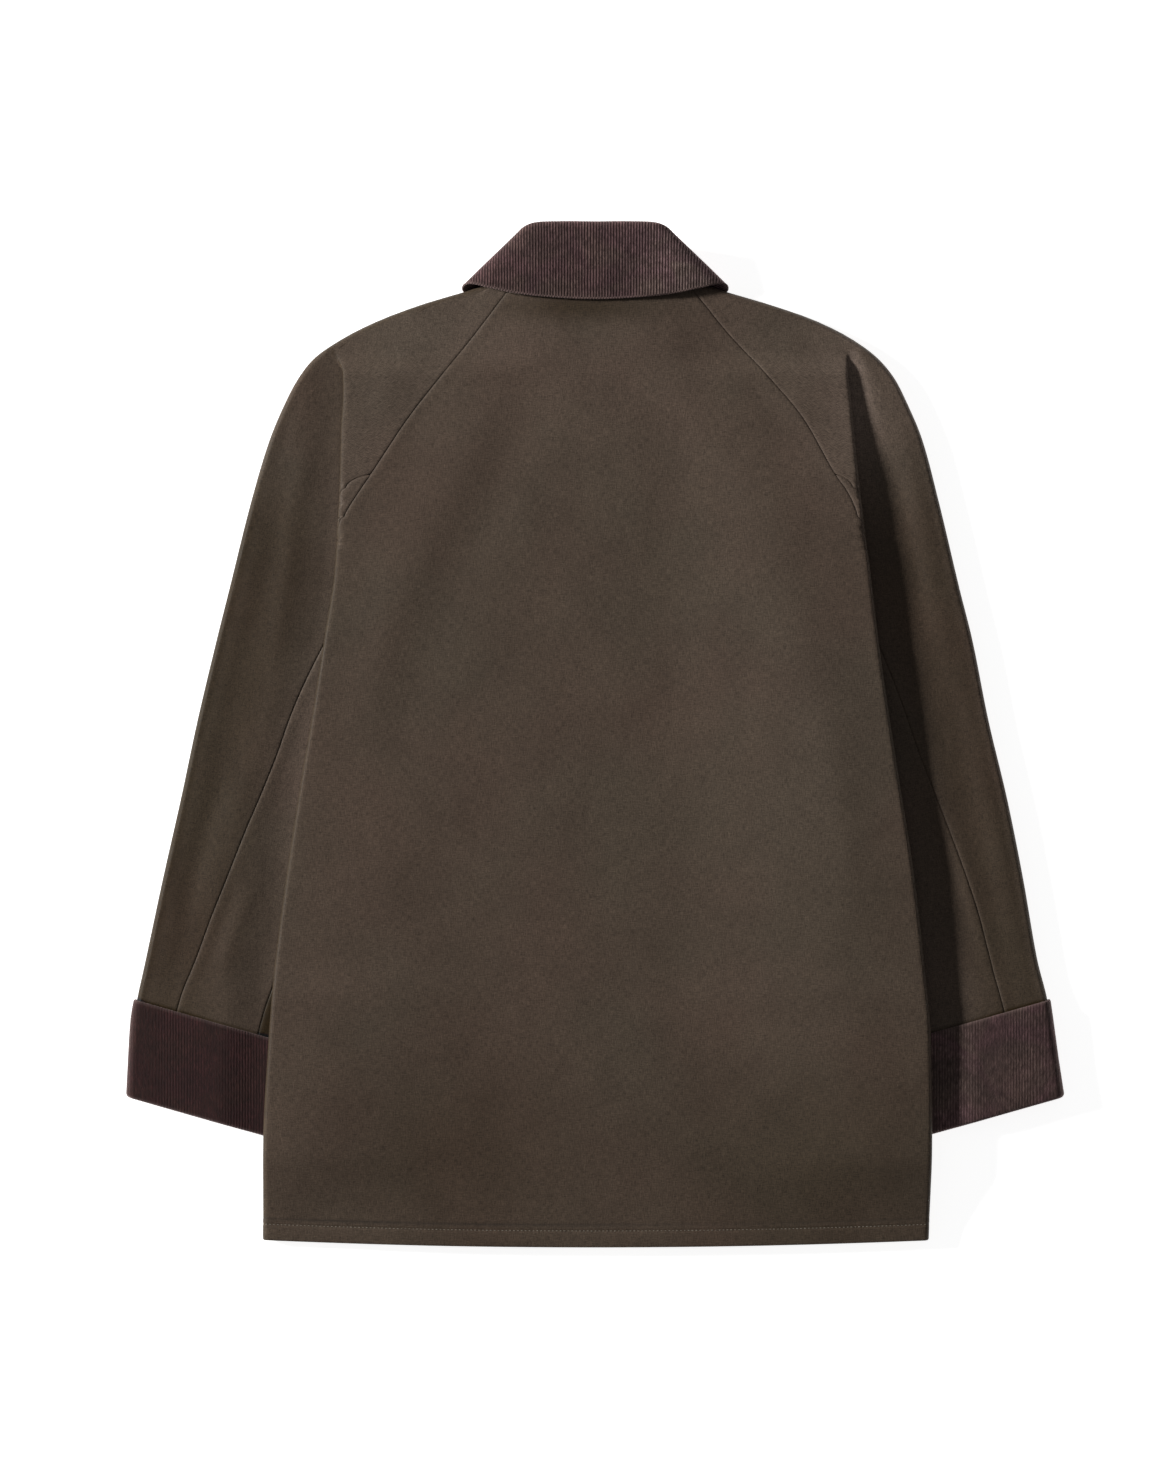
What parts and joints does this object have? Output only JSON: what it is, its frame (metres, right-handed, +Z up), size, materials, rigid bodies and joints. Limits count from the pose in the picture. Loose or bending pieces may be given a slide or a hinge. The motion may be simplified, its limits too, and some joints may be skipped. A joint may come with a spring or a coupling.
{
  "type": "waxed cotton jacket",
  "caption": "Dark olive waxed cotton jacket with raglan sleeves and plum-brown corduroy collar and cuffs, laid flat face down with its sleeves beside the body.",
  "frame": {"origin": "centre of the bounding box on the surface that the jacket lies on", "axes": "+Y from hem to collar, +Z up from the surface to the back of the jacket, +X to the wearer's right (seen from above on the right)"},
  "size_m": [0.7512, 0.8201, 0.0383],
  "materials": {
    "waxed_cotton": "dark olive-brown waxed plain weave, slightly greasy soft sheen, paler at edges and seams",
    "corduroy": "dark plum-brown cotton corduroy, fine lengthwise wales, soft nap",
    "button_resin": "dark brown satin resin"
  },
  "bodies": {
    "root": {"back": "waxed_cotton", "front_left_chest": "waxed_cotton", "front_left_waist": "waxed_cotton", "front_left_hem": "waxed_cotton", "front_right_chest": "waxed_cotton", "front_right_waist": "waxed_cotton", "front_right_hem": "waxed_cotton", "sleeve_left_top": "waxed_cotton", "sleeve_left_under": "waxed_cotton", "sleeve_right_top": "waxed_cotton", "sleeve_right_under": "waxed_cotton", "collar_leaf": "corduroy", "collar_stand": "corduroy", "cuff_left": "corduroy", "cuff_right": "corduroy", "button_1": "button_resin", "button_2": "button_resin", "button_3": "button_resin", "button_4": "button_resin", "button_5": "button_resin"}
  },
  "joints": []
}
